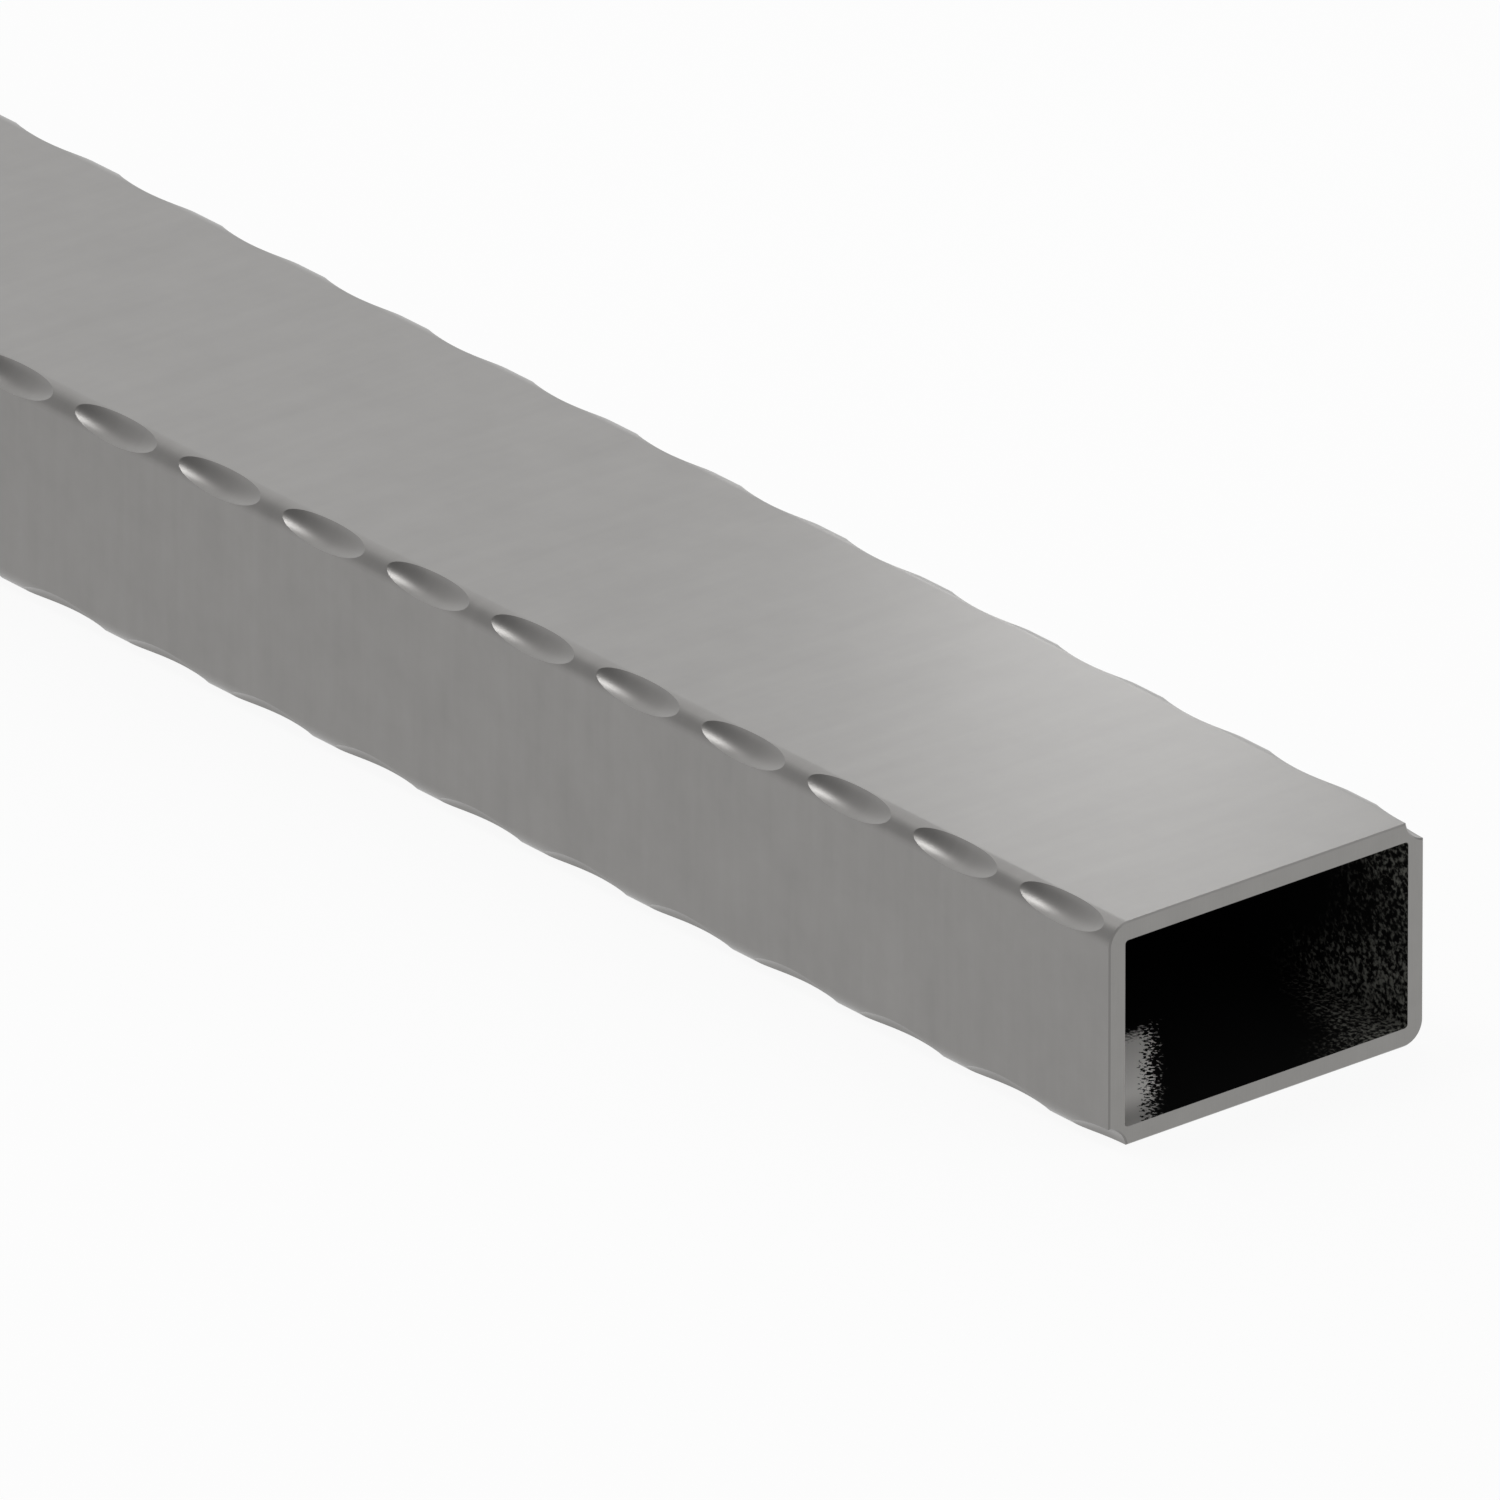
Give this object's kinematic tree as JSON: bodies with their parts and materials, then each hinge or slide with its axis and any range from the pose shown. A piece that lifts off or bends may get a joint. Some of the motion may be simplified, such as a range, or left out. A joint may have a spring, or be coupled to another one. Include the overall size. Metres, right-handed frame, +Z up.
{
  "type": "hammered-edge rectangular steel tube",
  "caption": "Length of bare steel tube of rectangular section with hammer marks pressed along its four edges, cut square and open at both ends, for frames, gates and railings.",
  "frame": {"origin": "middle of the wide face that the tube lies on, at floor level", "axes": "+X along the tube towards the cut end seen in the picture, +Y across its width, +Z up through its height"},
  "size_m": [1, 0.05, 0.03],
  "materials": {
    "bare_steel": "bare rolled steel, semi-matte warm grey with fine brushed lines across the tube, black scale inside the bore and freshly sawn faces at the ends"
  },
  "bodies": {
    "root": {"tube": "bare_steel"}
  },
  "joints": []
}
